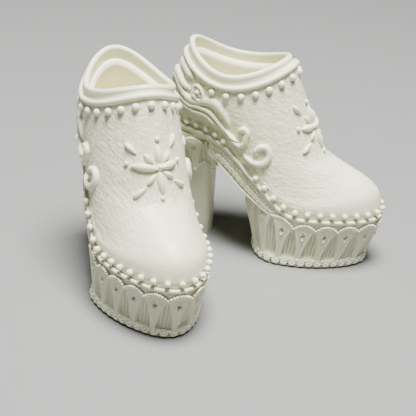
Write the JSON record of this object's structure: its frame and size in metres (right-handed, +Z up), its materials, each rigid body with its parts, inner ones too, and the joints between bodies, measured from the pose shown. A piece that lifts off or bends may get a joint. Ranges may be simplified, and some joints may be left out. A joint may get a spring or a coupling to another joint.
{
  "type": "doll ankle boots",
  "caption": "Ivory cast platform ankle boots for a doll, with block heels, pearl edging, star and scroll relief and pierced lace panels.",
  "frame": {"origin": "centre of the pair's bounding box in plan, at floor level", "axes": "+X runs across both boots to the right of the view, +Y away from it, +Z up from the floor; the right boot points 66 degrees and the left boot 13.7 degrees towards -Y from +X"},
  "size_m": [0.0675, 0.0624, 0.0452],
  "materials": {
    "upper_ivory": "satin, with a fine creased-leather grain",
    "lining_cream": "satin, smooth",
    "board_ivory": "satin",
    "smooth_ivory": "satin, smooth",
    "pearl_ivory": "soft gloss",
    "sole_ivory": "satin, smooth",
    "tread_ivory": "matt, faintly scuffed",
    "lace_ivory": "satin, cast relief"
  },
  "bodies": {
    "right_boot": {"right_apron_beads": "pearl_ivory", "right_arcade_panels": "lace_ivory", "right_arcade_ribs": "lace_ivory", "right_collar_beads": "pearl_ivory", "right_collar_lip": "smooth_ivory", "right_collar_roll": "smooth_ivory", "right_heel_apron": "lace_ivory", "right_heel_block": "sole_ivory", "right_heel_lift": "tread_ivory", "right_hem_lace": "lace_ivory", "right_insole_board": "board_ivory", "right_lining": "lining_cream", "right_outsole": "tread_ivory", "right_panel_beads": "pearl_ivory", "right_platform_block": "sole_ivory", "right_rosette": "pearl_ivory", "right_scroll_bands": "lace_ivory", "right_scroll_curls": "lace_ivory", "right_shank": "sole_ivory", "right_shank_lace": "lace_ivory", "right_sock_lining": "lining_cream", "right_star_beads": "pearl_ivory", "right_star_dashes": "lace_ivory", "right_star_hub": "pearl_ivory", "right_star_petals": "lace_ivory", "right_upper_shell": "upper_ivory", "right_welt_beads": "pearl_ivory", "right_welt_cord": "lace_ivory", "right_welt_plate": "sole_ivory"},
    "left_boot": {"left_apron_beads": "pearl_ivory", "left_arcade_panels": "lace_ivory", "left_arcade_ribs": "lace_ivory", "left_collar_beads": "pearl_ivory", "left_collar_lip": "smooth_ivory", "left_collar_roll": "smooth_ivory", "left_heel_apron": "lace_ivory", "left_heel_block": "sole_ivory", "left_heel_lift": "tread_ivory", "left_hem_lace": "lace_ivory", "left_insole_board": "board_ivory", "left_lining": "lining_cream", "left_outsole": "tread_ivory", "left_panel_beads": "pearl_ivory", "left_platform_block": "sole_ivory", "left_rosette": "pearl_ivory", "left_scroll_bands": "lace_ivory", "left_scroll_curls": "lace_ivory", "left_shank": "sole_ivory", "left_shank_lace": "lace_ivory", "left_sock_lining": "lining_cream", "left_star_beads": "pearl_ivory", "left_star_dashes": "lace_ivory", "left_star_hub": "pearl_ivory", "left_star_petals": "lace_ivory", "left_upper_shell": "upper_ivory", "left_welt_beads": "pearl_ivory", "left_welt_cord": "lace_ivory", "left_welt_plate": "sole_ivory"}
  },
  "joints": [
    {"name": "left_boot_lift", "type": "slide", "parent": "right_boot", "child": "left_boot", "axis": [0, 0, 1], "range_m": [0, 0.06]}
  ]
}
